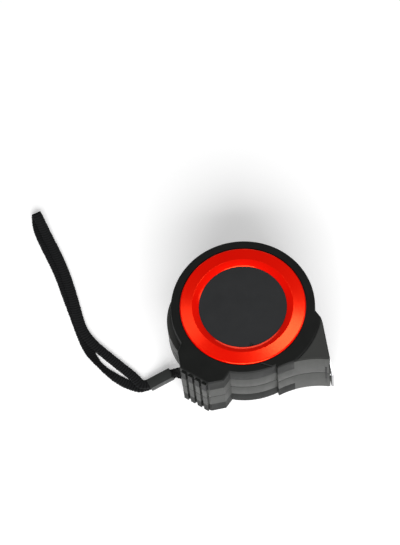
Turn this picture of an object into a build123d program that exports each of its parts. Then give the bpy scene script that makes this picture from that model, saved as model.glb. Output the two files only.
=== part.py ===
from build123d import *
from math import atan2, ceil, cos, degrees, hypot, radians, sin, tan
import os

# Pocket tape measure, 8 m by 25 mm class, lying on its belt clip with its round face up.
# Millimetres. The origin is on the reel axis, at the flat outer face of the belt clip.
# +Z is the reel axis, out of the face. +X points to the mouth, +Y to the top of the case.

# ---- driving dimensions ----
R_CASE = 39.5            # round body of the case
CLIP_OUT = 5.6           # clip's outer face to the rear rubber face
HALF = 20.0              # half the thickness between the two rubber faces
MID_Z = CLIP_OUT + HALF  # parting plane of the two covers, and the middle of the blade
RUBBER = 2.0             # thickness of the moulded rubber grips
BAND = 10.0              # half height of the bare plastic band between the grips
WALL = 1.6               # plastic wall under the rubber
BAND_WALL = 2.0          # plastic wall of the bare band
FACE_WALL = 2.0          # plastic wall behind the two faces
PART_GROOVE = 0.25       # depth of the groove where the two covers meet
BOSS_R = 2.5             # screw bosses
POST_BOSS_R = 6.0
NOSE_H = 19.6            # height of the bare nose panel above the parting plane
NOSE_STEP = 0.5          # step round the nose panel's edge
R_NOSE_PANEL = 43.3      # arc that parts the rubber from the nose panel
RING_R = 34.5
RING_RISE = 1.1          # ring's flat above the rubber face
RING_IN = 27.5           # inner edge of the ring's flat, where its bevel starts
RING_FALL = 0.5          # from its inner edge to its outer edge
DISC_R = 24.0
DISC_DROP = 1.5          # disc's face below the ring's inner edge

BLADE_W = 25.0
BLADE_T = 0.2
BLADE_SAG = 3.5          # depth of the blade's curved section
BLADE_Y = -36.4          # underside middle of the lowest blade length
BLADE_PITCH = 0.35       # step from one blade length up to the next
BLADE_BACK = -8.0        # inner end of each blade length at rest
BLADE_FRONT = 39.7       # hooked end of the blade at rest
INNER_FRONT = 30.0       # front end of the lengths stacked above the hooked one
BLADE_LENGTHS = 4

COIL_IN = 19.4
COIL_OUT = 30.2
COIL_TURNS = 12
FLANGE_R = 31.5
DRUM_IN = 17.6
DRUM_OUT = 19.0
REEL_LOW = 12.0          # outer face of the drum's rear flange
FLANGE_T = 1.0
POST_R = 3.0
POST_RUN = 0.06          # radial clearance of the reel on its post

HOOK_T = 1.0
HOOK_W = 21.0
HOOK_TIP_Y = -45.6
TANG_W = 15.0
TANG_BACK = 31.0
HOOK_PLAY = 1.0
HOOK_X = 39.75           # inner face of the hook's lip at rest
RIVET_R = 1.1
RIVETS = [(33.8, 0.0), (37.0, -4.2), (37.0, 4.2)]

MOUTH_X = 39.65          # nose's flat front, inside the hook's recess
BEYOND_X = 45.0          # in front of the whole nose
RECESS_TOP = -33.4
LOCK_TRAVEL = 4.0
THUMB_LOW, THUMB_HIGH = -24.4, -11.6
THUMB_W = 13.4
LOCK_FLANGE_X = (36.6, 37.9)
LOCK_FLANGE_Y = (-28.6, -9.4)
LOCK_FLANGE_W = 18.4
LOCK_ARM_X = 24.0        # inner end of the arm that carries the brake pad
LOCK_ARM_Y = (-29.0, -27.2)
LOCK_ARM_W = 8.0
PAD_T = 1.5

CLIP_W = 22.0
CLIP_T = 1.0
CLIP_HINGE_Y = 15.0
CLIP_END_Y = 25.5
CLIP_SCREW_Y = 21.0
REAR_DISC_R = 26.9

SCREW_R = 1.25
SCREW_HEAD_R = 2.3
SCREW_SINK = 1.6         # depth of the heads below the plastic face
SCREWS = [(26.4, 22.2), (-26.4, 22.2), (-31.0, -29.5), (31.0, -23.6)]

STRAP_W = 5.6            # flat webbing
STRAP_T = 1.1
PIN_X, PIN_Y, PIN_Z = -35.4, -17.6, 10.9
PIN_R = 1.3
PIN_LENGTH = 9.6
POCKET_W = 7.0           # lanyard pocket, across the strap
BEAD = (14.0, 6.8, 3.8)
BEAD_AT = (-51.2, -15.1, 3.25)
BEAD_YAW, BEAD_PITCH = 13.5, 11.0

os.makedirs("parts", exist_ok=True)
FRONT_Z = MID_Z + HALF
RING_Z = FRONT_Z + RING_RISE
REEL_HIGH = 2 * MID_Z - REEL_LOW


def write(name, shape):
    export_step(shape, f"parts/{name}.step")


def box(x0, x1, y0, y1, z0, z1):
    return Pos((x0 + x1) / 2, (y0 + y1) / 2, (z0 + z1) / 2) * Box(x1 - x0, y1 - y0, z1 - z0)


def rod(x, y, r, z0, z1):
    return Pos(x, y, (z0 + z1) / 2) * Cylinder(r, z1 - z0)


def near(shape, x, y, reach=0.6):
    """Corners of a sketch close to a point."""
    return shape.vertices().filter_by(lambda v: hypot(v.X - x, v.Y - y) < reach)


def in_front(shape):
    """Places a shape drawn above the parting plane into the front half."""
    return Pos(0, 0, MID_Z) * shape


def behind(shape):
    """Mirrors a shape drawn above the parting plane into the rear half."""
    return Pos(0, 0, MID_Z) * mirror(shape, about=Plane.XY)


# ---- outlines, seen from the front ----
RIB_START, RIB_END = (-40.3, -28.6), (-27.4, -40.8)      # the foot's sloping corner


def case_outline():
    """Round body, a foot at the lower back and a nose at the mouth."""
    foot = [(0, 0), (-36.9, -13.6), (-40.0, -19.0), RIB_START, RIB_END, (-19.0, -40.8), (-14.6, -36.6)]
    foot_face = make_face(Polyline(*foot, close=True))
    foot_face = fillet(near(foot_face, *RIB_START) + near(foot_face, *RIB_END), 1.5)
    nose_edge = Polyline((11.0, -39.9), (0, 0), (37.9, -10.0), (40.3, -15.3), (40.6, -18.6), (40.0, -40.8))
    nose_sole = ThreePointArc((40.0, -40.8), (25.0, -38.0), (11.0, -39.9))
    nose_face = make_face(nose_edge + nose_sole)
    nose_face = fillet(near(nose_face, 40.3, -15.3), 3.0)
    nose_face = fillet(near(nose_face, 40.0, -40.8), 0.8)
    return Circle(R_CASE) + foot_face + nose_face


def band_outline():
    """The bare band swells at the back, where the palm sits."""
    return case_outline() + Pos(-12.0, -1.0) * Circle(30.5)


def nose_panel():
    """Bare corner of the nose, outside the rubber's round edge."""
    corner = Pos(30.0, -32.0) * Rectangle(40.0, 40.0)
    return (case_outline() - Circle(R_NOSE_PANEL)) & corner


def blade_section(y_mid, half_w, t, sag=BLADE_SAG):
    """Curved strip across Z with its hollow side up; drawn in (z, y), middle at z = 0."""
    edge_y = y_mid + sag * (half_w / (BLADE_W / 2)) ** 2
    low = ThreePointArc((-half_w, edge_y), (0, y_mid), (half_w, edge_y))
    high = ThreePointArc((-half_w, edge_y + t), (0, y_mid + t), (half_w, edge_y + t))
    return make_face(low + high + Line(low @ 0, high @ 0) + Line(low @ 1, high @ 1))


def along_x(section, x0, x1):
    """Extrudes a (z, y) section along X."""
    plane = Plane(origin=(x0, 0, MID_Z), x_dir=(0, 0, 1), z_dir=(-1, 0, 0))
    return extrude(plane * section, -(x1 - x0))


def blade_channel():
    """Free space that the blade, its hook tang and its rivets need through the nose."""
    low_y, high_y, half_w = BLADE_Y - 0.75, -31.0, BLADE_W / 2 + 0.7
    edge_y = low_y + BLADE_SAG
    low = ThreePointArc((-half_w, edge_y), (0, low_y), (half_w, edge_y))
    rest = Polyline((half_w, edge_y), (half_w, high_y), (-half_w, high_y), (-half_w, edge_y))
    return along_x(make_face(low + rest), 4.0, BEYOND_X)


# ---- case ----
def grip_ribs(h0, h1):
    """Four ribs across the foot's sloping corner, standing 1.3 mm out of it."""
    dx, dy = RIB_END[0] - RIB_START[0], RIB_END[1] - RIB_START[1]
    corner = hypot(dx, dy)
    along, out = (dx / corner, dy / corner), (dy / corner, -dx / corner)
    rib_w, rib_deep, stand_out, pitch = 2.7, 2.4, 1.3, 4.3
    ribs = []
    for i in range(4):
        walked = 2.4 + pitch * i
        lift = stand_out - rib_deep / 2
        x = RIB_START[0] + along[0] * walked + out[0] * lift
        y = RIB_START[1] + along[1] * walked + out[1] * lift
        rib = Rot(0, 0, degrees(atan2(dy, dx))) * Box(rib_w, rib_deep, h1 - h0)
        ribs.append(Pos(x, y, (h0 + h1) / 2) * rib)
    return ribs


def cover():
    """Plastic half shell, drawn above the parting plane: the same for both halves."""
    outline = case_outline()
    band = band_outline()
    face = HALF - RUBBER
    shell = extrude(offset(band, -PART_GROOVE), BAND)
    shell += Pos(0, 0, PART_GROOVE) * extrude(band, BAND - PART_GROOVE)
    shell += extrude(offset(outline, -RUBBER), face)
    shell += Pos(0, 0, PART_GROOVE) * extrude(nose_panel(), NOSE_H - NOSE_STEP - PART_GROOVE)
    shell += extrude(offset(nose_panel(), -NOSE_STEP), NOSE_H)
    for rib in grip_ribs(PART_GROOVE, BAND):
        shell += rib
    shell -= extrude(offset(band, -BAND_WALL), BAND - WALL)
    shell -= extrude(offset(outline, -RUBBER - WALL), face - FACE_WALL)
    for x, y in SCREWS:
        shell += rod(x, y, BOSS_R, 0, face - FACE_WALL / 2)
    shell += rod(0, 0, POST_BOSS_R, REEL_HIGH + 0.2 - MID_Z, face - FACE_WALL / 2)
    shell -= rod(0, 0, POST_R, 0, face - FACE_WALL / 2)
    return shell


def front_openings():
    """Mouth, hook recess, bumper pocket and lock window, cut from both covers."""
    recess_half = HOOK_W / 2 + 1.0
    window_half = THUMB_W / 2 + 0.3
    flange_half = LOCK_FLANGE_W / 2 + 0.8
    flange_low = LOCK_FLANGE_Y[0] - LOCK_TRAVEL - 0.4
    recess = box(MOUTH_X, BEYOND_X, HOOK_TIP_Y, RECESS_TOP, MID_Z - recess_half, MID_Z + recess_half)
    window = box(LOCK_FLANGE_X[0] - 0.6, BEYOND_X, THUMB_LOW - LOCK_TRAVEL - 1.0, THUMB_HIGH + 0.8,
                 MID_Z - window_half, MID_Z + window_half)
    flange_room = box(LOCK_FLANGE_X[0] - 0.2, LOCK_FLANGE_X[1] + 0.3, flange_low, LOCK_FLANGE_Y[1] + 0.4,
                      MID_Z - flange_half, MID_Z + flange_half)
    return [blade_channel(), recess, window, flange_room, bumper_block()]


def bumper_block():
    return box(MOUTH_X - 2.45, MOUTH_X, BLADE_Y - 3.8, BLADE_Y + 0.2, MID_Z - 8.0, MID_Z + 8.0)


def lanyard_pocket():
    """Slot round the pin, deeper at its mouth, where the strap turns down."""
    low_y, high_y = PIN_Y - POCKET_W / 2, PIN_Y + POCKET_W / 2
    slot = box(-46.0, PIN_X + 2.5, low_y, high_y, PIN_Z - 2.5, PIN_Z + 2.5)
    return slot + box(-46.0, PIN_X + 0.3, low_y, high_y, PIN_Z - 4.4, PIN_Z)


def lanyard_block():
    block = box(-38.6, PIN_X + 4.0, PIN_Y - 5.2, PIN_Y + 5.2, CLIP_OUT + RUBBER, PIN_Z + 4.0)
    outline = Pos(0, 0, CLIP_OUT) * extrude(offset(case_outline(), -RUBBER), BAND)
    return block & outline


def front_cover():
    shell = in_front(cover())
    for opening in front_openings():
        shell -= opening
    for x, y in SCREWS:
        shell -= rod(x, y, SCREW_R, MID_Z, MID_Z + 12.0)
    return shell


def rear_cover():
    shell = behind(cover()) + lanyard_block()
    for opening in front_openings():
        shell -= opening
    for x, y in SCREWS:
        shell -= rod(x, y, SCREW_R + 0.15, 0, MID_Z)
        shell -= rod(x, y, SCREW_HEAD_R + 0.1, 0, CLIP_OUT + RUBBER + SCREW_SINK)
    shell += rod(0, CLIP_SCREW_Y, 4.0, CLIP_OUT + RUBBER, CLIP_OUT + RUBBER + 4.0)
    shell -= rod(0, CLIP_SCREW_Y, 1.5, 0, CLIP_OUT + RUBBER + 3.6)
    shell -= lanyard_pocket()
    shell -= lanyard_pin()
    return shell


def grip(hole_r):
    """Rubber moulding over one half: a skirt around the wall and a face with a round hole."""
    outline = case_outline() - nose_panel()
    skin = extrude(outline, HALF - BAND)
    rim = skin.faces().sort_by(Axis.Z)[-1].edges()
    skin = fillet(rim.filter_by(lambda e: hypot(e.center().X, e.center().Y) < R_NOSE_PANEL + 8), 1.0)
    skin = Pos(0, 0, BAND) * skin
    for rib in grip_ribs(BAND, HALF - 1.6):
        skin += rib
    skin -= extrude(offset(case_outline(), -RUBBER), HALF - RUBBER)
    skin -= extrude(Circle(hole_r), HALF)
    return skin


def front_grip():
    groove_x, groove_y = 7.5, -38.0
    turn = degrees(atan2(-3.9, 7.0))
    groove = Pos(groove_x, groove_y, HALF) * Rot(0, 0, turn) * Rot(45, 0, 0) * Box(11.0, 0.8, 0.8)
    skin = grip(RING_R + 0.5) - groove
    skin = in_front(skin)
    for opening in front_openings():
        skin -= opening
    return skin


def rear_grip():
    skin = behind(grip(REAR_DISC_R + 0.1))
    for opening in front_openings():
        skin -= opening
    for x, y in SCREWS:
        skin -= rod(x, y, SCREW_HEAD_R + 0.1, 0, MID_Z)
    return skin - lanyard_pocket() - lanyard_pin()


def face_ring():
    """Ring that falls a little to its rounded outer edge, with a bevel down to the disc."""
    z0 = FRONT_Z - RUBBER
    edge = RING_Z - RING_FALL
    outer = Line((RING_R, 0, z0), (RING_R, 0, edge - 0.6))
    shoulder = ThreePointArc((RING_R, 0, edge - 0.6), (RING_R - 0.18, 0, edge - 0.2),
                             (RING_R - 0.6, 0, edge))
    middle = ((RING_R + RING_IN) / 2, 0, RING_Z - 0.15)
    crown = ThreePointArc((RING_R - 0.6, 0, edge), middle, (RING_IN, 0, RING_Z))
    low = (DISC_R + 0.1, 0, RING_Z - DISC_DROP)
    bevel = ThreePointArc((RING_IN, 0, RING_Z), (RING_IN - 1.5, 0, RING_Z - 0.4), low)
    rest = Polyline(low, (DISC_R + 0.1, 0, z0), (RING_R, 0, z0))
    return revolve(make_face(outer + shoulder + crown + bevel + rest), Axis.Z)


def face_disc():
    z0 = FRONT_Z - RUBBER
    disc = rod(0, 0, DISC_R, z0, RING_Z - DISC_DROP)
    notch = make_face(Polyline((-1.8, -24.5), (1.8, -24.5), (0, -21.6), close=True))
    return disc - Pos(0, 0, RING_Z - DISC_DROP - 0.8) * extrude(notch, 2.0)


def rear_disc():
    disc = rod(0, 0, REAR_DISC_R, CLIP_OUT + 0.3, CLIP_OUT + RUBBER)
    groove_z = CLIP_OUT + 0.6
    groove = rod(0, 0, REAR_DISC_R - 1.5, 0, groove_z) - rod(0, 0, REAR_DISC_R - 2.1, 0, groove_z)
    return disc - groove - rod(0, CLIP_SCREW_Y, 1.6, 0, MID_Z)


def pan_screw(x, y, head_r, head_h, shaft_r, z_seat, length):
    """Pan head facing -Z with a cross slot, shaft pointing +Z."""
    head = rod(x, y, head_r, z_seat - head_h, z_seat)
    head = fillet(head.faces().sort_by(Axis.Z)[0].edges(), head_h * 0.45)
    for turn in (0, 90):
        head -= Pos(x, y, z_seat - head_h) * Rot(0, 0, turn) * Box(head_r * 1.1, 0.6, head_h)
    return head + rod(x, y, shaft_r, z_seat, z_seat + length)


def case_screws():
    seat = CLIP_OUT + RUBBER + SCREW_SINK
    return Compound([pan_screw(x, y, SCREW_HEAD_R, 1.5, SCREW_R, seat, 26.0) for x, y in SCREWS])


def lanyard_pin():
    return Pos(PIN_X, PIN_Y, PIN_Z) * Rot(90, 0, 0) * Cylinder(PIN_R, PIN_LENGTH)


# ---- reel ----
def spiral_strip(r_out, r_in, turns, t, width, z0, tail=None):
    """Flat coil wound clockwise inwards from its lowest point, as half-turn arcs."""
    n = 2 * turns
    reach = [r_out + (r_in - r_out) * k / n for k in range(n + 1)] + (tail or [])
    outer, inner = [], []
    for k in range(len(reach) - 1):
        side = -1 if k % 2 == 0 else 1
        a, b = reach[k], reach[k + 1]
        centre_y = side * (a - b) / 2
        r = (a + b) / 2
        for edge, shift in ((outer, t / 2), (inner, -t / 2)):
            start = (0, centre_y + side * (r + shift))
            middle = (side * (r + shift), centre_y)
            end = (0, centre_y - side * (r + shift))
            edge.append(ThreePointArc(start, middle, end))
    caps = [Line(outer[0] @ 0, inner[0] @ 0), Line(outer[-1] @ 1, inner[-1] @ 1)]
    return Pos(0, 0, z0) * extrude(make_face(Curve() + outer + inner + caps), width)


def reel_drum():
    """Hub wall with a rear flange and a bearing hole."""
    drum = rod(0, 0, FLANGE_R, REEL_LOW, REEL_LOW + FLANGE_T)
    drum += rod(0, 0, DRUM_OUT, REEL_LOW, REEL_HIGH - FLANGE_T)
    drum -= rod(0, 0, DRUM_IN, REEL_LOW + FLANGE_T, REEL_HIGH)
    return drum - rod(0, 0, POST_R + POST_RUN, 0, REEL_HIGH)


def reel_flange():
    flange = rod(0, 0, FLANGE_R, REEL_HIGH - FLANGE_T, REEL_HIGH) - rod(0, 0, POST_R + POST_RUN, 0, 50)
    for k in range(6):
        a = radians(60 * k + 30)
        flange -= rod(11.5 * cos(a), 11.5 * sin(a), 2.6, 0, 50)
    return flange


def mainspring():
    """Power spring packed against the drum wall, with its inner turns close round the post."""
    return spiral_strip(17.2, 9.2, 8, 0.55, 23.6, MID_Z - 11.8, tail=[6.4, 4.2, 3.6])


def tape_coil():
    return spiral_strip(COIL_OUT, COIL_IN, COIL_TURNS, 0.74, BLADE_W, MID_Z - BLADE_W / 2)


def spring_post():
    length = 2 * (HALF - RUBBER - FACE_WALL / 2)
    post = rod(0, 0, POST_R, MID_Z - length / 2, MID_Z + length / 2)
    return post - box(-0.5, 0.5, -5.0, 5.0, MID_Z - 11.0, MID_Z + 11.0)


# ---- blade and hook ----
def trough(dz):
    """Height of the lowest blade's underside at a distance from its middle."""
    return BLADE_Y + BLADE_SAG * (dz / (BLADE_W / 2)) ** 2


def at_rivet(x, dz):
    """Place on the blade's underside with Z along its normal, into the hollow."""
    slope = 2 * BLADE_SAG * dz / (BLADE_W / 2) ** 2
    return Pos(x, trough(dz), MID_Z + dz) * Rot(-degrees(atan2(slope, 1)) - 90, 0, 0)


def blade_lead():
    blade = along_x(blade_section(BLADE_Y, BLADE_W / 2, BLADE_T), BLADE_BACK, BLADE_FRONT)
    for place in RIVETS:
        blade -= at_rivet(*place) * rod(0, 0, RIVET_R, -1, 2)
    return blade


def blade_length(i):
    section = blade_section(BLADE_Y + BLADE_PITCH * i, BLADE_W / 2, BLADE_T)
    return along_x(section, BLADE_BACK, INNER_FRONT)


def hook_rivets():
    """Fixed in the blade; the hook slides along them by its play."""
    seat = BLADE_T + HOOK_T + 0.08
    rivet = rod(0, 0, RIVET_R, -0.3, seat + 0.5)
    rivet += rod(0, 0, RIVET_R + 0.5, -0.42, -0.04)
    rivet += rod(0, 0, RIVET_R + 0.8, seat, seat + 0.45)
    rivet = chamfer(rivet.faces().sort_by(Axis.Z)[-1].edges(), 0.04)
    return Compound([at_rivet(*place) * rivet for place in RIVETS])


def end_hook():
    """Tang lying in the blade's hollow, and a lip that turns down past its end."""
    section = blade_section(BLADE_Y + BLADE_T + 0.04, TANG_W / 2, HOOK_T - 0.1)
    tang = along_x(section, TANG_BACK, BLADE_FRONT + 1.0)
    slot_r = RIVET_R + 0.1
    slot = rod(0, 0, slot_r, -1, 2) + rod(-HOOK_PLAY, 0, slot_r, -1, 2)
    slot += box(-HOOK_PLAY, 0, -slot_r, slot_r, -1, 2)
    for place in RIVETS:
        tang -= at_rivet(*place) * slot
    half, tip_half = HOOK_W / 2, 7.4
    top_y, shoulder_y = BLADE_Y + 1.7, HOOK_TIP_Y + 2.0
    points = [(-half, top_y), (half, top_y), (half, shoulder_y), (tip_half, HOOK_TIP_Y),
              (-tip_half, HOOK_TIP_Y), (-half, shoulder_y)]
    face = make_face(Polyline(*points, close=True))
    face = fillet(near(face, -tip_half, HOOK_TIP_Y) + near(face, tip_half, HOOK_TIP_Y), 1.0)
    lip = along_x(face, HOOK_X, HOOK_X + HOOK_T)
    lip -= along_x(Pos(0, -41.6) * SlotOverall(5.0, 2.4), HOOK_X - 1, HOOK_X + 2)
    return lip + tang


def mouth_bumper():
    return bumper_block() - blade_channel()


# ---- lock ----
def lock_slider():
    """Thumb piece in the front window, a flange behind it, and an arm to the brake pad."""
    thumb = make_face(Polyline((37.4, THUMB_LOW), (40.6, THUMB_LOW), (40.9, THUMB_LOW + 0.8), (40.9, -16.4),
                               (39.3, THUMB_HIGH), (37.4, THUMB_HIGH), close=True))
    slider = Pos(0, 0, MID_Z - THUMB_W / 2) * extrude(thumb, THUMB_W)
    for k in range(5):
        slider -= Pos(41.0, -22.0 + 1.7 * k, MID_Z) * Rot(0, 0, 45) * Box(0.7, 0.7, THUMB_W)
    slider += box(*LOCK_FLANGE_X, *LOCK_FLANGE_Y, MID_Z - LOCK_FLANGE_W / 2, MID_Z + LOCK_FLANGE_W / 2)
    slider += box(LOCK_ARM_X, LOCK_FLANGE_X[1], *LOCK_ARM_Y, MID_Z - LOCK_ARM_W / 2, MID_Z + LOCK_ARM_W / 2)
    return slider


def lock_pad():
    return box(LOCK_ARM_X, LOCK_ARM_X + 5.4, LOCK_ARM_Y[0] - PAD_T, LOCK_ARM_Y[0], MID_Z - 4.6, MID_Z + 4.6)


def lock_spring():
    """Leaf that clicks against the lock's flange, held by its two ends in the covers."""
    z = MID_Z + 9.8
    bump = [(-32.85, z), (-23.0, z), (-21.0, z - 0.35), (-19.0, z), (-9.15, z)]
    return Pos(37.3, 0, 0) * bent_strip(bump, 0.2, 1.3, 0.5)


def bent_strip(points, gauge, width, radius):
    """Bent sheet: a path in (y, z) thickened to its gauge and extruded across X."""
    line = FilletPolyline(*[(0, y, z) for y, z in points], radius=radius)
    strip = offset(line, gauge / 2, side=Side.BOTH)
    return extrude(make_face(strip), width / 2, both=True, dir=(1, 0, 0))


# ---- belt clip ----
def clip_base():
    pad = box(-CLIP_W / 2, CLIP_W / 2, CLIP_HINGE_Y, CLIP_END_Y, CLIP_OUT + 0.3 - CLIP_T, CLIP_OUT + 0.3)
    pad = fillet(pad.edges().filter_by(Axis.Z).group_by(Axis.Y)[-1], 4.0)
    return pad - rod(0, CLIP_SCREW_Y, 1.6, 0, MID_Z)


def clip_arm():
    """Steps out from the base, runs flat and turns in again to a lip that almost touches the case."""
    half = CLIP_T / 2
    seat = CLIP_OUT - 0.7 + half
    path = [(CLIP_HINGE_Y - 0.6, seat), (12.8, seat), (8.6, half), (-21.0, half), (-26.5, seat - 0.6),
            (-30.0, 3.2)]
    plan = Pos(0, -5.0) * RectangleRounded(CLIP_W, 51.2, 4.5)
    plan += Pos(0, 8.0) * Rectangle(CLIP_W, 20.0)
    return bent_strip(path, CLIP_T, CLIP_W, 1.2) & extrude(plan, MID_Z)


def clip_screw():
    return pan_screw(0, CLIP_SCREW_Y, 3.4, 1.5, 1.5, CLIP_OUT + 0.3 - CLIP_T, 4.2)


# ---- wrist strap ----
bead_axis = Vector(cos(radians(BEAD_PITCH)) * cos(radians(BEAD_YAW)),
                   cos(radians(BEAD_PITCH)) * sin(radians(BEAD_YAW)), sin(radians(BEAD_PITCH)))
bead_side = Vector(-sin(radians(BEAD_YAW)), cos(radians(BEAD_YAW)), 0)
bead_up = bead_axis.cross(bead_side)


def in_bead(along, up):
    p = Vector(*BEAD_AT) + bead_axis * along + bead_up * up
    return (p.X, p.Y, p.Z)


WRAP = PIN_R + STRAP_T / 2 + 0.05
STRAP_ROUTE = [
    (PIN_X + WRAP, PIN_Y, PIN_Z + 0.2), (PIN_X + WRAP, PIN_Y, PIN_Z + WRAP), (-39.6, PIN_Y, PIN_Z + WRAP),
    in_bead(10.8, 0.66), in_bead(-10.6, 0.66),
    (-65.2, -10.2, 1.9), (-70.8, -3.1, 1.9), (-77.7, 5.9, 1.9), (-84.2, 14.6, 1.9), (-88.6, 24.0, 1.9),
    (-89.6, 35.8, 1.9), (-90.4, 48.0, 1.9), (-91.8, 60.6, 1.9), (-94.2, 73.0, 1.9), (-97.4, 85.0, 2.2),
    (-99.6, 94.0, 3.2), (-101.4, 101.2, 4.0), (-101.4, 101.2, 0.6),
    (-102.4, 93.0, 0.6), (-100.4, 82.6, 0.6), (-97.8, 72.6, 0.6), (-95.0, 60.6, 0.6), (-93.4, 48.2, 0.6),
    (-91.6, 36.6, 0.6), (-90.0, 25.0, 0.6), (-88.2, 14.6, 0.6), (-84.8, 4.0, 0.6), (-79.4, -4.2, 0.6),
    (-72.8, -10.6, 0.6), (-66.8, -15.0, 0.6),
    in_bead(-10.6, -0.66), in_bead(10.8, -0.66),
    (-39.6, PIN_Y, PIN_Z - WRAP), (PIN_X + WRAP, PIN_Y, PIN_Z - WRAP), (PIN_X + WRAP, PIN_Y, PIN_Z - 0.2),
]


def corner_radii(points):
    """As large an arc at each corner as its two runs allow."""
    radii = []
    for a, b, c in zip(points, points[1:], points[2:]):
        run_in, run_out = Vector(*b) - Vector(*a), Vector(*c) - Vector(*b)
        half_turn = radians(run_in.get_angle(run_out)) / 2
        radii.append(0.45 * min(run_in.length, run_out.length) / tan(half_turn))
    return radii


def ribbon(points, radii, width, thickness, side):
    """Flat strip along straight runs joined by arcs. side is its width direction at the start,
    carried along the path without twisting, then levelled where the path lies flat."""
    path = FilletPolyline(*points, radius=radii)
    sections = []
    for edge in path.edges():
        bend = (edge % 0).get_angle(edge % 1)
        steps = max(1, ceil(bend / 12.0))
        for k in range(steps + 1):
            if sections and k == 0:
                continue
            t = edge % (k / steps)
            side = (side - t * side.dot(t)).normalized()
            level = Vector(0, 0, 1).cross(t)
            if level.length > 0.5:
                level = level.normalized()
                level = level if level.dot(side) > 0 else level * -1
                side = (side * 0.6 + level * 0.4).normalized()
            across = Plane(origin=edge @ (k / steps), x_dir=side, z_dir=t)
            sections.append(across * Rectangle(width, thickness))
    solid = Solid.make_loft([s.face().outer_wire() for s in sections], ruled=True)
    return solid, path.length


def wrist_strap():
    radii = corner_radii(STRAP_ROUTE)
    radii[0] = radii[-1] = WRAP - 0.25
    solid, length = ribbon(STRAP_ROUTE, radii, STRAP_W, STRAP_T, Vector(0, 1, 0))
    section = STRAP_W * STRAP_T
    print("strap radii", [round(r, 1) for r in radii])
    share = solid.volume / (section * length)
    print("strap length", round(length, 1), "volume over section times length", round(share, 3))
    return solid


def strap_bead():
    """Slider that both strands pass through."""
    long, wide, high = BEAD
    block = Box(long, wide, high)
    block = chamfer(block.edges().filter_by(Axis.X), 0.6)
    block -= Box(long + 2, STRAP_W + 0.3, 2 * STRAP_T + 0.6)
    place = Plane(origin=BEAD_AT, x_dir=bead_axis, z_dir=bead_up)
    return place * block


PARTS = {
    "front_cover": front_cover, "rear_cover": rear_cover, "front_grip": front_grip, "rear_grip": rear_grip,
    "face_ring": face_ring, "face_disc": face_disc, "rear_disc": rear_disc, "case_screws": case_screws,
    "lanyard_pin": lanyard_pin, "spring_post": spring_post, "reel_drum": reel_drum,
    "reel_flange": reel_flange,
    "mainspring": mainspring, "tape_coil": tape_coil, "blade_lead": blade_lead, "hook_rivets": hook_rivets,
    "end_hook": end_hook, "mouth_bumper": mouth_bumper, "lock_slider": lock_slider, "lock_pad": lock_pad,
    "lock_spring": lock_spring, "clip_base": clip_base, "clip_arm": clip_arm, "clip_screw": clip_screw,
    "wrist_strap": wrist_strap, "strap_bead": strap_bead,
}
for name, make in PARTS.items():
    write(name, make())
for i in range(1, BLADE_LENGTHS):
    write(f"blade_length_{i + 1}", blade_length(i))
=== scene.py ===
from math import atan2, cos, hypot, pi, radians, sin

import bmesh
import bpy
from mathutils import Matrix, Vector


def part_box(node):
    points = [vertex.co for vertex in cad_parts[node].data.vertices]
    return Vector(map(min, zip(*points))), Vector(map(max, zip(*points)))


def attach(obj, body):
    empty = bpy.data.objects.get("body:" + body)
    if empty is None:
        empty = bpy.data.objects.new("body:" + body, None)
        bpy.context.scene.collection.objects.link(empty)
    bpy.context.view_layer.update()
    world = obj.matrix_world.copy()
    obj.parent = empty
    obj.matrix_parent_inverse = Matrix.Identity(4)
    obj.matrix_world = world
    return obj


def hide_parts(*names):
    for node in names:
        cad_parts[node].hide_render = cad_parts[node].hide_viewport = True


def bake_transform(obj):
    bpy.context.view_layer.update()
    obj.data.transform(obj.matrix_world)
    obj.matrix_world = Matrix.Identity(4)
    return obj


# Looks of the tape measure. Metres, in the CAD model's frame: +Z is the reel axis, +X the mouth.

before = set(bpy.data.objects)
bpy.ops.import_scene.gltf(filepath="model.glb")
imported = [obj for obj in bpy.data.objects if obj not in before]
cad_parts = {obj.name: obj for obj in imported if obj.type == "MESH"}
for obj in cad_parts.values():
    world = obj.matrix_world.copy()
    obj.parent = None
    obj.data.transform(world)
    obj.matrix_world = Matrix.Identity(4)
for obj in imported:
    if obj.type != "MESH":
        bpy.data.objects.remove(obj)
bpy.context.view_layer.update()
scene = bpy.context.scene
MM = 0.001

ring_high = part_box("face_ring")[1]
RING_TOP = Vector((0, 0, ring_high.z))
RING_R = ring_high.x
MID_Z = (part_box("front_cover")[0].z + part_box("rear_cover")[1].z) / 2


# ---- camera, at the photograph's viewing angle ----
AZIMUTH, ELEVATION, ROLL = radians(-5.3), radians(65.2), radians(6.5)
TO_CAMERA = Vector((sin(AZIMUTH) * cos(ELEVATION), -cos(AZIMUTH) * cos(ELEVATION), sin(ELEVATION)))
DISTANCE = 1.65
LENS = 199.8
AIM_LEFT, AIM_UP = 23.3 * MM, 17.9 * MM      # the ring sits right of and below the middle


def add_camera():
    level = Vector((cos(AZIMUTH), sin(AZIMUTH), 0))
    upright = TO_CAMERA.cross(level)
    right = level * cos(ROLL) - upright * sin(ROLL)
    up = level * sin(ROLL) + upright * cos(ROLL)
    place = RING_TOP - right * AIM_LEFT + up * AIM_UP + TO_CAMERA * DISTANCE
    data = bpy.data.cameras.new("camera")
    data.lens = LENS
    data.clip_start, data.clip_end = 0.05, 20
    camera = bpy.data.objects.new("camera", data)
    turn = Matrix((right, up, TO_CAMERA)).transposed().to_4x4()
    camera.matrix_world = Matrix.Translation(place) @ turn
    scene.collection.objects.link(camera)
    scene.camera = camera


# ---- floor and light ----
RING_SLOPE = radians(4.5)    # slope of the ring's face
GLINT_SPOT = 0.9             # where on the ring's face a glint falls, as a share of its radius
GLINT_DISTANCE = 0.9
FLOOR_HALF = 4
GREY, WHITE = (0.82, 0.82, 0.82, 1), (1, 1, 1, 1)


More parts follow.
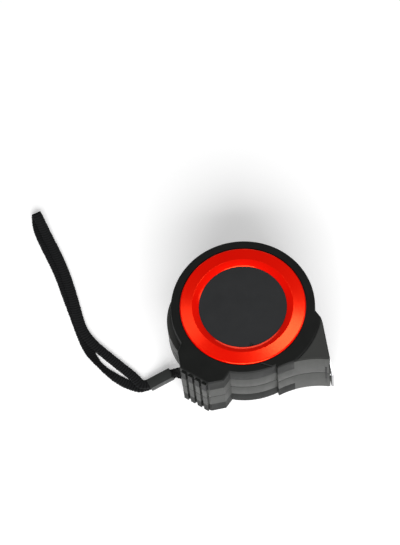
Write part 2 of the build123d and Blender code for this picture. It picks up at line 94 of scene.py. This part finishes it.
def add_light(name, place, target, size, power):
    data = bpy.data.lights.new(name, "AREA")
    data.shape = "RECTANGLE"
    data.size, data.size_y = size
    data.energy = power
    light = bpy.data.objects.new(name, data)
    turn = (Vector(place) - Vector(target)).to_track_quat("Z", "Y")
    light.matrix_world = Matrix.Translation(place) @ turn.to_matrix().to_4x4()
    scene.collection.objects.link(light)


def glint_place(azimuth):
    """Where a light is mirrored to the camera by the ring's sloping face at that azimuth."""
    outward = Vector((cos(azimuth), sin(azimuth), 0))
    normal = outward * sin(RING_SLOPE) + Vector((0, 0, cos(RING_SLOPE)))
    spot = RING_TOP + outward * RING_R * GLINT_SPOT
    view = (RING_TOP + TO_CAMERA * DISTANCE - spot).normalized()
    return spot + (normal * 2 * normal.dot(view) - view) * GLINT_DISTANCE


def add_stage():
    bm = bmesh.new()
    bmesh.ops.create_grid(bm, x_segments=1, y_segments=1, size=FLOOR_HALF)
    mesh = bpy.data.meshes.new("floor")
    bm.to_mesh(mesh)
    bm.free()
    floor = bpy.data.objects.new("floor", mesh)
    scene.collection.objects.link(floor)
    paint, _, shader = start_material("pale_floor")
    shader.inputs["Base Color"].default_value = GREY
    shader.inputs["Roughness"].default_value = 0.7
    shader.inputs["Emission Color"].default_value = WHITE
    shader.inputs["Emission Strength"].default_value = 0.34
    mesh.materials.append(paint)

    world = bpy.data.worlds.new("studio")
    world.use_nodes = True
    sky = world.node_tree.nodes["Background"]
    sky.inputs["Color"].default_value = WHITE
    sky.inputs["Strength"].default_value = 0.10
    scene.world = world
    scene.view_settings.view_transform = "Standard"
    add_light("front_panel", (-0.15, -1.15, 0.85), (0, 0, 0.02), (1.3, 0.8), 30)
    add_light("low_front", (0.1, -0.9, 0.16), (0, -0.1, 0.0), (1.4, 0.25), 5)
    for azimuth, size, power in ((-48, 0.15, 0.55), (194, 0.12, 0.10)):
        add_light(f"glint_{azimuth % 360}", glint_place(radians(azimuth)), RING_TOP, (size, size), power)
    add_light("right_panel", (1.0, -0.1, 0.5), (0, 0, 0.03), (0.4, 0.8), 2)
    add_light("back_panel", (0.1, 1.2, 0.35), (0, 0, 0.03), (1.2, 0.3), 2)


# ---- material building blocks ----
def start_material(name):
    paint = bpy.data.materials.new(name)
    paint.use_nodes = True
    tree = paint.node_tree
    return paint, tree, tree.nodes["Principled BSDF"]


def add_node(tree, kind, values=None, **settings):
    """A shader node with its settings, and its inputs set from numbers or links."""
    node = tree.nodes.new(kind)
    for key, value in settings.items():
        setattr(node, key, value)
    for key, value in (values or {}).items():
        if isinstance(value, bpy.types.NodeSocket):
            tree.links.new(value, node.inputs[key])
        else:
            node.inputs[key].default_value = value
    return node


def place_of(tree):
    """Position in metres in the piece's own frame."""
    return add_node(tree, "ShaderNodeTexCoord").outputs["Object"]


def noise(tree, size, detail=3.0, stretch=(1, 1, 1)):
    """Noise from 0 to 1 whose blobs are about size metres across."""
    where = add_node(tree, "ShaderNodeMapping", {"Vector": place_of(tree), "Scale": stretch})
    made = add_node(tree, "ShaderNodeTexNoise",
                    {"Vector": where.outputs["Vector"], "Scale": 1 / size, "Detail": detail})
    return made.outputs["Fac"]


def spread(tree, value, low, high, start=0.3, end=0.7):
    """Maps start..end of a value to low..high."""
    made = add_node(tree, "ShaderNodeMapRange", {"Value": value, "From Min": start, "From Max": end,
                                                 "To Min": low, "To Max": high})
    return made.outputs["Result"]


def blend_colours(tree, share, first, second):
    """Colour from first to second, each three numbers or a link, as share goes from 0 to 1."""
    made = add_node(tree, "ShaderNodeMix", data_type="RGBA")
    tree.links.new(share, made.inputs["Factor"])
    for socket, colour in ((made.inputs[6], first), (made.inputs[7], second)):
        if isinstance(colour, bpy.types.NodeSocket):
            tree.links.new(colour, socket)
        else:
            socket.default_value = (*colour, 1)
    return made.outputs[2]


def calc(tree, operation, a, b=0.0):
    made = add_node(tree, "ShaderNodeMath", {0: a, 1: b}, operation=operation)
    return made.outputs[0]


def emboss(tree, shader, height, depth, strength=1.0):
    """Adds a height field, from 0 to 1 over depth metres, to the shader's normal."""
    made = add_node(tree, "ShaderNodeBump", {"Height": height, "Distance": depth, "Strength": strength})
    before = shader.inputs["Normal"].links
    if before:
        tree.links.new(before[0].from_socket, made.inputs["Normal"])
    tree.links.new(made.outputs["Normal"], shader.inputs["Normal"])


def moulded(name, dark, light, roughness, grain, grain_depth, shine=0.4, dust=0.0):
    """Moulded plastic or rubber: mottled colour, fine grain, and patches polished by handling.
    dust is the pale bloom that shows at a grazing angle."""
    paint, tree, shader = start_material(name)
    patches = noise(tree, 9 * MM, 4)
    grains = noise(tree, grain, 2)
    colour = blend_colours(tree, spread(tree, patches, 0, 1), dark, light)
    tree.links.new(colour, shader.inputs["Base Color"])
    worn = spread(tree, patches, roughness - 0.06, roughness + 0.06)
    tree.links.new(worn, shader.inputs["Roughness"])
    shader.inputs["Specular IOR Level"].default_value = shine
    shader.inputs["Sheen Weight"].default_value = dust
    shader.inputs["Sheen Roughness"].default_value = 0.35
    emboss(tree, shader, grains, grain_depth)
    return paint


def metal(name, colour, roughness, brush=None):
    """Plated or bare steel, with brushed lines along one axis if asked, and faint smudges."""
    paint, tree, shader = start_material(name)
    shader.inputs["Metallic"].default_value = 1
    smudges = noise(tree, 6 * MM, 4)
    shade = [c * 0.82 for c in colour]
    smudged = blend_colours(tree, spread(tree, smudges, 0, 1), shade, colour)
    tree.links.new(smudged, shader.inputs["Base Color"])
    tree.links.new(spread(tree, smudges, roughness * 0.7, roughness * 1.4), shader.inputs["Roughness"])
    if brush:
        emboss(tree, shader, noise(tree, 0.25 * MM, 2, brush), 0.006 * MM)
    return paint


# ---- materials ----
def ring_paint():
    """Orange-red metallic lacquer: its highlights keep the colour of the lacquer."""
    paint, tree, shader = start_material("ring_lacquer")
    patches = noise(tree, 14 * MM, 2)
    colour = blend_colours(tree, spread(tree, patches, 0, 1), (0.98, 0.003, 0.0010), (1.0, 0.006, 0.0015))
    tree.links.new(colour, shader.inputs["Base Color"])
    shader.inputs["Metallic"].default_value = 0.3
    shader.inputs["Roughness"].default_value = 0.15
    shader.inputs["Specular IOR Level"].default_value = 0.9
    shader.inputs["Specular Tint"].default_value = (1, 0.48, 0.14, 1)
    emboss(tree, shader, noise(tree, 1.2 * MM, 2), 0.003 * MM)
    return paint


def webbing_paint():
    """Black yarn, with a painted highlight on the crests of the cross ribs and painted shade between them.
    """
    paint, tree, shader = start_material("black_webbing")
    threads = noise(tree, 0.22 * MM, 2)
    crest = add_node(tree, "ShaderNodeAttribute", attribute_name="rib_height").outputs["Fac"]
    # painted highlight on the rib crests, broken up by yarn noise; the valleys keep the darker colour as
    # painted shade
    painted_crest_light = calc(tree, "MULTIPLY", spread(tree, crest, 0, 1, 0.55, 1.0), spread(tree, threads, 0.4, 1))
    # first colour is the painted shade in the valleys, second the painted highlight on the crests
    colour = blend_colours(tree, painted_crest_light, (0.0006, 0.0006, 0.0008), (0.011, 0.012, 0.013))
    tree.links.new(colour, shader.inputs["Base Color"])
    shader.inputs["Roughness"].default_value = 0.7
    shader.inputs["Specular IOR Level"].default_value = 0.2
    emboss(tree, shader, threads, 0.06 * MM)
    return paint


LINE_REACHES = ((1, 9.8), (5, 8.4), (10, 6.6))    # line spacing, and where it ends from the blade's middle
LINE_WIDTH = 0.22                                 # all in millimetres


def blade_paint(name, zero_x):
    """Yellow lacquer with black graduation lines each millimetre, fifth and tenth, counted from zero_x."""
    paint, tree, shader = start_material(name)
    axes = add_node(tree, "ShaderNodeSeparateXYZ", {0: place_of(tree)})
    along = calc(tree, "MULTIPLY", calc(tree, "SUBTRACT", zero_x, axes.outputs[0]), 1 / MM)
    across = calc(tree, "ABSOLUTE", calc(tree, "SUBTRACT", axes.outputs[2], MID_Z))
    ink = None
    for step, reach in LINE_REACHES:
        steps = calc(tree, "MULTIPLY", along, 1 / step)
        phase = calc(tree, "FRACT", calc(tree, "ADD", steps, LINE_WIDTH / 2 / step))
        line = calc(tree, "LESS_THAN", phase, LINE_WIDTH / step)
        line = calc(tree, "MULTIPLY", line, calc(tree, "GREATER_THAN", across, reach * MM))
        ink = line if ink is None else calc(tree, "MAXIMUM", ink, line)
    tint = noise(tree, 8 * MM, 3)
    lacquer = blend_colours(tree, spread(tree, tint, 0, 1), (0.66, 0.38, 0.008), (0.74, 0.45, 0.012))
    tree.links.new(blend_colours(tree, ink, lacquer, (0.01, 0.01, 0.01)), shader.inputs["Base Color"])
    tree.links.new(spread(tree, tint, 0.28, 0.42), shader.inputs["Roughness"])
    shader.inputs["Coat Weight"].default_value = 0.3
    emboss(tree, shader, noise(tree, 0.4 * MM, 1), 0.003 * MM)
    return paint


# Each name's dark and light colour, roughness, and the size and depth of its grain.
PAINTS = {
    "rubber": moulded("black_rubber", (0.0055, 0.0060, 0.0056), (0.0085, 0.0092, 0.0086),
                      0.50, 0.22 * MM, 0.012 * MM, shine=0.14),
    "plastic": moulded("charcoal_plastic", (0.026, 0.027, 0.025), (0.033, 0.034, 0.032),
                       0.45, 0.16 * MM, 0.010 * MM, shine=0.28),
    "disc": moulded("charcoal_disc", (0.017, 0.018, 0.019), (0.022, 0.023, 0.024),
                    0.4, 0.12 * MM, 0.005 * MM, shine=0.2),
    "lock": moulded("black_lock_plastic", (0.010, 0.010, 0.010), (0.015, 0.015, 0.015),
                    0.4, 0.14 * MM, 0.008 * MM),
    "bead": moulded("grey_bead_plastic", (0.018, 0.020, 0.019), (0.026, 0.028, 0.027),
                    0.42, 0.14 * MM, 0.01 * MM, dust=0.1),
    "reel": moulded("natural_reel_plastic", (0.42, 0.42, 0.40), (0.52, 0.52, 0.49),
                    0.5, 0.2 * MM, 0.01 * MM),
    "bumper": moulded("bumper_rubber", (0.012, 0.012, 0.012), (0.02, 0.02, 0.02),
                      0.75, 0.2 * MM, 0.02 * MM),
    "chrome": metal("chrome_plate", (0.46, 0.46, 0.47), 0.16),
    "clip": metal("clip_steel", (0.60, 0.60, 0.61), 0.30, brush=(1, 0.06, 1)),
    "screw": metal("zinc_screw", (0.52, 0.52, 0.50), 0.34),
    "spring": metal("spring_steel", (0.34, 0.36, 0.40), 0.28, brush=(1, 1, 0.05)),
    "ink": moulded("black_ink", (0.008, 0.008, 0.008), (0.014, 0.014, 0.014),
                   0.4, 0.2 * MM, 0.002 * MM),
    "ring": ring_paint(),
    "webbing": webbing_paint(),
}
BLADE_STEP = 35 * MM         # each following length carries the numbers this much further on
HOOK_FACE = 39.75 * MM       # zero of the first length's graduations, at rest
for i in range(4):
    PAINTS[f"blade_{i + 1}"] = blade_paint(f"yellow_blade_{i + 1}", HOOK_FACE + BLADE_STEP * i)

NODE_PAINTS = {
    "front_cover": "plastic", "rear_cover": "plastic", "front_grip": "rubber", "rear_grip": "rubber",
    "face_ring": "ring", "face_disc": "disc", "rear_disc": "disc", "case_screws": "screw",
    "lanyard_pin": "screw", "spring_post": "reel", "reel_drum": "reel", "reel_flange": "reel",
    "mainspring": "spring", "tape_coil": "blade_1", "blade_lead": "blade_1", "blade_length_2": "blade_2",
    "blade_length_3": "blade_3", "blade_length_4": "blade_4", "hook_rivets": "screw", "end_hook": "chrome",
    "mouth_bumper": "bumper", "lock_slider": "lock", "lock_pad": "bumper", "lock_spring": "spring",
    "clip_base": "clip", "clip_arm": "clip", "clip_screw": "screw", "wrist_strap": "webbing",
    "strap_bead": "bead",
}
for name, paint in NODE_PAINTS.items():
    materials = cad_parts[name].data.materials
    materials.clear()
    materials.append(PAINTS[paint])


# ---- mesh building blocks ----
def add_piece(name, verts, faces, paint, body=None, smooth=True):
    mesh = bpy.data.meshes.new(name)
    mesh.from_pydata([tuple(v) for v in verts], [], faces)
    mesh.validate()
    mesh.materials.append(PAINTS[paint])
    piece = bpy.data.objects.new(name, mesh)
    scene.collection.objects.link(piece)
    if smooth:
        mesh.polygons.foreach_set("use_smooth", [True] * len(mesh.polygons))
    if body:
        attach(piece, body)
    return piece


def tube_faces(rows, around):
    """Quads of a closed tube of rows of points, with its two ends capped."""
    faces = []
    for r in range(rows - 1):
        for k in range(around):
            n = (k + 1) % around
            faces.append((r * around + k, r * around + n, (r + 1) * around + n, (r + 1) * around + k))
    faces.append(tuple(reversed(range(around))))
    faces.append(tuple((rows - 1) * around + k for k in range(around)))
    return faces


# ---- moulded edges ----
WELD_GAP = 0.002             # millimetres, as are the radii
ROUNDED_ABOVE = radians(32)  # edges that turn by more than this are rounded
ROUNDED = {
    "front_grip": 0.45, "rear_grip": 0.45, "front_cover": 0.25, "rear_cover": 0.25, "face_disc": 0.12,
    "rear_disc": 0.2, "lock_slider": 0.25, "end_hook": 0.15, "mouth_bumper": 0.2,
}
for name, radius in ROUNDED.items():
    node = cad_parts[name]
    weld = node.modifiers.new("weld", "WELD")
    weld.merge_threshold = WELD_GAP * MM
    bevel = node.modifiers.new("rounded", "BEVEL")
    bevel.width = radius * MM
    bevel.segments = 3
    bevel.limit_method = "ANGLE"
    bevel.angle_limit = ROUNDED_ABOVE
    bevel.harden_normals = True


# ---- turned ring ----
def arc(a, b, c, count):
    """Points on the circle through a, b and c, from just after a to c."""
    (ax, ay), (bx, by), (cx, cy) = a, b, c
    d = 2 * (ax * (by - cy) + bx * (cy - ay) + cx * (ay - by))
    a2, b2, c2 = ax * ax + ay * ay, bx * bx + by * by, cx * cx + cy * cy
    ux = (a2 * (by - cy) + b2 * (cy - ay) + c2 * (ay - by)) / d
    uy = (a2 * (cx - bx) + b2 * (ax - cx) + c2 * (bx - ax)) / d
    start, end = atan2(ay - uy, ax - ux), atan2(cy - uy, cx - ux)
    turn = (end - start + pi) % (2 * pi) - pi
    reach = hypot(ax - ux, ay - uy)
    return [(ux + reach * cos(start + turn * k / count), uy + reach * sin(start + turn * k / count))
            for k in range(1, count + 1)]


def turned(name, profile, paint, body, around=240):
    """Closed profile of (radius, height) in millimetres turned about the reel axis."""
    verts = []
    for k in range(around):
        c, s = cos(2 * pi * k / around), sin(2 * pi * k / around)
        verts += [Vector((r * c, r * s, z)) * MM for r, z in profile]
    rows, faces = len(profile), []
    for k in range(around):
        n = (k + 1) % around
        for r in range(rows):
            q = (r + 1) % rows
            faces.append((k * rows + r, n * rows + r, n * rows + q, k * rows + q))
    return add_piece(name, verts, faces, paint, body)


def gloss_ring():
    """The ring's face falls to a rounded outer edge, and bevels down to the disc inside."""
    outer, rim, crest, inner = 34.5, 33.9, 27.8, 24.1       # radii in millimetres
    foot, edge, top = 43.6, 46.2, 46.7                      # heights
    lip = top - 1.5
    face_fall = 0.48
    profile = [(outer, foot), (outer, edge - 1.2), (outer, edge - 0.6)]
    profile += arc((outer, edge - 0.6), (outer - 0.18, edge - 0.2), (rim, edge), 6)
    for share in (0.01, 0.03, 0.5, 0.97, 0.99):
        profile.append((rim - (rim - crest) * share, edge + face_fall * share))
    profile += arc((crest, top - 0.02), (crest - 0.14, top - 0.02), (crest - 0.26, top - 0.06), 4)
    profile += arc((crest - 0.3, top - 0.08), (crest - 1.8, top - 0.52), (inner + 0.05, lip + 0.12), 12)
    profile += [(inner + 0.02, lip + 0.05), (inner, lip), (inner, foot + 0.1), (inner, foot)]
    ring = turned("ring_gloss_face", profile, "ring", "case")
    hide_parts("face_ring")


# ---- belt clip ----
def rounded_path(points, radius, gap):
    """A polyline's points with its corners turned into arcs of about that radius, then spaced evenly."""
    path = [Vector(points[0])]
    steps = 8
    for a, b, c in zip(points, points[1:], points[2:]):
        a, b, c = Vector(a), Vector(b), Vector(c)
        start, end = b + (a - b).normalized() * radius, b + (c - b).normalized() * radius
        for k in range(steps + 1):
            t = k / steps
            path.append(start * (1 - t) ** 2 + b * (2 * t * (1 - t)) + end * t ** 2)
    path.append(Vector(points[-1]))
    spaced = []
    for a, b in zip(path, path[1:]):
        count = max(1, round((b - a).length / gap))
        spaced += [a.lerp(b, k / count) for k in range(count)]
    return spaced + [path[-1]]


# The strip's middle line as (y, z) in millimetres: screwed end, step outwards, flat arm, kicked lip.
CLIP_LINE = [(25.5, 5.4), (12.8, 5.4), (8.6, 0.5), (-21.0, 0.5), (-26.5, 4.8), (-30.4, 3.0)]
CLIP_BEND_R, CLIP_GAP = 1.8, 0.5
CLIP_HALF_W, CLIP_HALF_T, CLIP_EDGE = 11.0, 0.5, 0.3
SCREWED_CORNER, LIP_CORNER = 4.0, 4.5


def belt_clip():
    """One strip of spring steel. The arm springs from the screwed end."""
    path = rounded_path(CLIP_LINE, CLIP_BEND_R, CLIP_GAP)
    high_y, low_y = path[0].x, path[-1].x
    near_edge = CLIP_EDGE * 0.3
    outline = [(CLIP_HALF_W - CLIP_EDGE, -CLIP_HALF_T), (CLIP_HALF_W - near_edge, -CLIP_HALF_T + near_edge),
               (CLIP_HALF_W, -CLIP_HALF_T + CLIP_EDGE), (CLIP_HALF_W, CLIP_HALF_T - CLIP_EDGE),
               (CLIP_HALF_W - near_edge, CLIP_HALF_T - near_edge), (CLIP_HALF_W - CLIP_EDGE, CLIP_HALF_T)]
    outline += [(CLIP_HALF_W * share, CLIP_HALF_T) for share in (0.5, 0, -0.5)]
    outline += [(-x, -z) for x, z in outline[:6]]
    outline += [(CLIP_HALF_W * share, -CLIP_HALF_T) for share in (-0.5, 0, 0.5)]
    verts = []
    for n, place in enumerate(path):
        ahead = (path[min(n + 1, len(path) - 1)] - path[max(n - 1, 0)]).normalized()
        off = Vector((-ahead.y, ahead.x))
        width = CLIP_HALF_W
        for end, radius in ((high_y, SCREWED_CORNER), (low_y, LIP_CORNER)):
            near = min(abs(place.x - end), radius)
            width -= radius - (radius ** 2 - (radius - near) ** 2) ** 0.5
        for x, z in outline:
            spot = place + off * z
            verts.append(Vector((x * width / CLIP_HALF_W, spot.x, spot.y)) * MM)
    strip = add_piece("belt_clip_strip", verts, tube_faces(len(path), len(outline)), "clip")
    strip.data.set_sharp_from_angle(angle=radians(40))
    return strip


# ---- blade numbers ----
# Millimetres: the hollow side's lowest line, how far each length lies above the last, the hollow's
# radius, the stretch of a length that carries its numbers, and the numbers' own sizes.
TROUGH_Y, NEST, HOLLOW_R = -36.4 + 0.2, 0.35, 24.0
NUMBERED_FROM, NUMBERED_TO = -6.5, 28.5
NUMBER_SIZE, NUMBER_HALF_T, NUMBER_LIFT, NUMBER_TO_LINE = 6.2, 0.006, 0.012, 0.9


def blade_numbers(index, body):
    """Centimetre numbers standing on the hollow side of one blade length, beside their lines."""
    zero = (HOOK_FACE + BLADE_STEP * index) / MM
    surface = TROUGH_Y + NEST * index + NUMBER_LIFT
    verts, faces = [], []
    for number in range(2, 16):
        line_x = zero - 10 * number
        if not NUMBERED_FROM <= line_x < NUMBERED_TO:
            continue
        data = bpy.data.curves.new("number", "FONT")
        data.body = str(number)
        data.size = NUMBER_SIZE
        data.align_x, data.align_y = "RIGHT", "CENTER"
        data.extrude = NUMBER_HALF_T
        text = bpy.data.objects.new("number", data)
        scene.collection.objects.link(text)
        bpy.context.view_layer.update()
        mesh = bpy.data.meshes.new_from_object(text)
        start = len(verts)
        for v in mesh.vertices:
            x, up, out = line_x + NUMBER_TO_LINE - v.co.x, v.co.y, v.co.z
            y = surface + out + up * up / (2 * HOLLOW_R)
            verts.append(Vector((x, y, MID_Z / MM + up)) * MM)
        faces += [tuple(start + i for i in face.vertices) for face in mesh.polygons]
        bpy.data.meshes.remove(mesh)
        bpy.data.objects.remove(text)
        bpy.data.curves.remove(data)
    piece = add_piece(f"blade_numbers_{index + 1}", verts, faces, "ink", body, smooth=False)


# ---- wrist strap ----
STRAP_W, STRAP_T = 5.6 * MM, 1.1 * MM
PIN = Vector((-35.4, -17.6, 10.9)) * MM
WRAP = 1.9 * MM
# The lower strand turns by TURN about its run at TURN_Y, and less for TURN_REACH to each side.
TURN, TURN_Y, TURN_REACH, TURN_X = radians(-38), 0.5 * MM, 14 * MM, -70 * MM
LEVELLING = 0.06             # share by which the width is drawn level at each point
RIB_PITCH, RIB_DEPTH = 1.5 * MM, 0.24 * MM
RIB_SLANT, RIB_ROUNDNESS = 0.35, 0.7     # in rib pitches at the selvedge; lower is blunter
RIB_PINCH = 0.12             # the strap is narrower between its ribs
CORD_PITCH, CORD_DEPTH = 0.62 * MM, 0.05 * MM
SELVEDGE_POWER, SELVEDGE_LEAST = 8, 0.25
WANDER, WANDER_LONG, WANDER_SHORT = 0.05, 1.9 * MM, 0.7 * MM
ACROSS = 15                  # points across each face
FLOOR_GAP = 0.03 * MM
BEAD_AT = Vector((-51.2, -15.1, 3.25)) * MM
BEAD_YAW, BEAD_PITCH = radians(13.5), radians(11.0)
BEAD_AXIS = Vector((cos(BEAD_PITCH) * cos(BEAD_YAW), cos(BEAD_PITCH) * sin(BEAD_YAW), sin(BEAD_PITCH)))
BEAD_SIDE = Vector((-sin(BEAD_YAW), cos(BEAD_YAW), 0))
BEAD_UP = BEAD_AXIS.cross(BEAD_SIDE)


def by_pin(x, z):
    """Beside the lanyard pin, in metres."""
    return PIN + Vector((x, 0, z))


def in_bead(along, up):
    """A place in the bead's slot, in metres from millimetres along and above its middle."""
    return BEAD_AT + BEAD_AXIS * along * MM + BEAD_UP * up * MM


# The strap's two strands in millimetres: out from the bead to the fold, and back under it.
UPPER_STRAND = [
    (-65.2, -10.2, 1.9), (-70.8, -3.1, 1.9), (-77.7, 5.9, 1.9), (-84.2, 14.6, 1.9),
    (-88.6, 24.0, 1.9), (-89.6, 35.8, 1.9), (-90.4, 48.0, 1.9), (-91.8, 60.6, 1.9),
    (-94.2, 73.0, 1.9), (-97.4, 85.0, 2.2), (-99.6, 94.0, 3.2), (-101.4, 101.2, 4.0),
]
LOWER_STRAND = [
    (-101.4, 101.2, 0.6), (-102.4, 93.0, 0.6), (-100.4, 82.6, 0.6), (-97.8, 72.6, 0.6),
    (-95.0, 60.6, 0.6), (-93.4, 48.2, 0.6), (-91.6, 36.6, 0.6), (-90.0, 25.0, 0.6),
    (-88.2, 14.6, 0.7), (-84.8, 4.0, 2.8), (-79.4, -4.2, 2.6), (-72.8, -10.6, 0.8),
    (-66.8, -15.0, 0.6),
]
BEAD_REACH, BEAD_FAR, STRAND_UP = 10.8, -10.6, 0.66
POCKET_MOUTH, STRAP_TUCK = -4.2 * MM, 0.2 * MM
STRAP_ROUTE = [by_pin(WRAP, STRAP_TUCK), by_pin(WRAP, WRAP), by_pin(POCKET_MOUTH, WRAP)]
STRAP_ROUTE += [in_bead(BEAD_REACH, STRAND_UP), in_bead(BEAD_FAR, STRAND_UP)]
STRAP_ROUTE += [Vector(place) * MM for place in UPPER_STRAND + LOWER_STRAND]
STRAP_ROUTE += [in_bead(BEAD_FAR, -STRAND_UP), in_bead(BEAD_REACH, -STRAND_UP)]
STRAP_ROUTE += [by_pin(POCKET_MOUTH, -WRAP), by_pin(WRAP, -WRAP), by_pin(WRAP, -STRAP_TUCK)]


def spline_points(route, gap):
    """Points about gap apart on the NURBS spline that the route's points control, and its length."""
    smoothness = 24
    data = bpy.data.curves.new("route", "CURVE")
    data.dimensions = "3D"
    data.resolution_u = smoothness
    spline = data.splines.new("NURBS")
    spline.points.add(len(route) - 1)
    for point, place in zip(spline.points, route):
        point.co = (*place, 1)
    spline.order_u = 3
    spline.use_endpoint_u = True
    spline.resolution_u = smoothness
    curve = bpy.data.objects.new("route", data)
    scene.collection.objects.link(curve)
    bpy.context.view_layer.update()
    mesh = bpy.data.meshes.new_from_object(curve)
    dense = [v.co.copy() for v in mesh.vertices]
    bpy.data.meshes.remove(mesh)
    bpy.data.objects.remove(curve)
    bpy.data.curves.remove(data)
    walked = [0.0]
    for a, b in zip(dense, dense[1:]):
        walked.append(walked[-1] + (b - a).length)
    count = round(walked[-1] / gap)
    points, k = [], 0
    for n in range(count + 1):
        goal = walked[-1] * n / count
        while k < len(dense) - 2 and walked[k + 1] < goal:
            k += 1
        share = (goal - walked[k]) / max(walked[k + 1] - walked[k], 1e-12)
        points.append(dense[k].lerp(dense[k + 1], min(max(share, 0), 1)))
    return points, walked[-1]


def strap_frames(points):
    """Direction and width direction at each point. The width starts across the pin, is carried along
    without twisting, and is drawn level where the strap lies flat. The lower strand turns part way
    onto its edge beside the gap between the strands."""
    side = Vector((0, 1, 0))
    frames = []
    for k, point in enumerate(points):
        lower = k > len(points) / 2
        ahead = points[min(k + 2, len(points) - 1)] - points[max(k - 2, 0)]
        ahead.normalize()
        side = (side - ahead * side.dot(ahead)).normalized()
        level = Vector((0, 0, 1)).cross(ahead)
        if level.length > 0.5:
            level.normalize()
            level = level if level.dot(side) > 0 else -level
            side = (side * (1 - LEVELLING) + level * LEVELLING).normalized()
        rise = max(0.0, 1 - abs(point.y - TURN_Y) / TURN_REACH) if lower and point.x < TURN_X else 0.0
        turn = TURN * rise * rise * (3 - 2 * rise)
        turned_side = side * cos(turn) + ahead.cross(side) * sin(turn)
        frames.append((point, ahead, turned_side, ahead.cross(turned_side)))
    return frames


def wrist_strap():
    """Flat webbing with a rounded selvedge, cross ribs and fine cords along it. Its width wanders a
    little, and each point keeps its rib's height for the material's painted rib highlights."""
    points, length = spline_points(STRAP_ROUTE, 0.26 * MM)
    across = [-1 + 2 * k / (ACROSS - 1) for k in range(ACROSS)]
    verts, rib_heights = [], []
    for n, (point, ahead, side, up) in enumerate(strap_frames(points)):
        walked = length * n / (len(points) - 1)
        for face in (1, -1):
            for share in (across if face > 0 else reversed(across)):
                edge = (1 - abs(share) ** SELVEDGE_POWER) ** 0.5 if abs(share) < 1 else 0.0
                slant = abs(share) * RIB_SLANT * RIB_PITCH
                rib = abs(sin(pi * (walked + slant * face) / RIB_PITCH)) ** RIB_ROUNDNESS
                cord = abs(cos(pi * share * STRAP_W / 2 / CORD_PITCH))
                drop = RIB_DEPTH * (1 - rib) + CORD_DEPTH * (1 - cord)
                half = (STRAP_T / 2 - drop) * max(edge, SELVEDGE_LEAST)
                wander = WANDER * sin(walked / WANDER_LONG + 2 * face) * sin(walked / WANDER_SHORT)
                wide = STRAP_W / 2 * (1 - RIB_PINCH * (1 - rib) + wander) * share
                spot = point + side * wide + up * (half * face)
                spot.z = max(spot.z, FLOOR_GAP)
                verts.append(spot)
                rib_heights.append(rib)
    faces = tube_faces(len(points), 2 * ACROSS)
    strap = add_piece("wrist_strap_webbing", verts, faces, "webbing", "case")
    heights = strap.data.attributes.new("rib_height", "FLOAT", "POINT")
    heights.data.foreach_set("value", rib_heights)
    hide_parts("wrist_strap")
    return strap, points


def slider_bead():
    """Slider with bevelled edges and a slot right through for both strands."""
    long, wide, high = 14.0 * MM, 6.8 * MM, 3.8 * MM
    slot_w, slot_h = STRAP_W + 0.3 * MM, 2 * STRAP_T + 0.6 * MM
    corner, bevel, lip, steps = 0.75 * MM, 0.35 * MM, 0.3 * MM, 4

    def loop(w, h, r):
        """A rounded rectangle w wide and h high."""
        r = min(r, w / 2 * 0.98, h / 2 * 0.98)
        ring = []
        for sx, sz, start in ((1, 1, 0), (-1, 1, 90), (-1, -1, 180), (1, -1, 270)):
            for k in range(steps + 1):
                a = radians(start + 90 * k / steps)
                ring.append((sx * (w / 2 - r) + r * cos(a), sz * (h / 2 - r) + r * sin(a)))
        return ring

    rows = []
    for k in range(steps + 1):
        a = radians(90 * k / steps)
        shrink = bevel * (1 - sin(a))
        rows.append((-long / 2 + bevel * (1 - cos(a)), wide - 2 * shrink, high - 2 * shrink, corner))
    rows += [(-x, w, h, r) for x, w, h, r in reversed(rows)]
    inside = [(long / 2, slot_w + lip, slot_h + lip, lip), (long / 2 - lip, slot_w, slot_h, lip)]
    inside += [(-x, w, h, r) for x, w, h, r in reversed(inside)]
    verts = []
    around = 4 * (steps + 1)
    for x, w, h, r in rows + inside:
        for y, z in loop(w, h, r):
            verts.append(BEAD_AT + BEAD_AXIS * x + BEAD_SIDE * y + BEAD_UP * z)
    count = len(rows) + len(inside)
    faces = []
    for r in range(count):
        n = (r + 1) % count
        for k in range(around):
            m = (k + 1) % around
            faces.append((r * around + k, r * around + m, n * around + m, n * around + k))
    bead = add_piece("slider_bead", verts, faces, "bead", "case")
    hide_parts("strap_bead")
    return bead


# ---- pieces, stage and camera ----
strap, strap_points = wrist_strap()
bead = slider_bead()
gloss_ring()
clip_strip = belt_clip()
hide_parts("clip_base", "clip_arm")
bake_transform(clip_strip)
for i, blade_body in enumerate(("blade", "blade_2", "blade_3", "blade_4")):
    blade_numbers(i, blade_body)
add_stage()
add_camera()
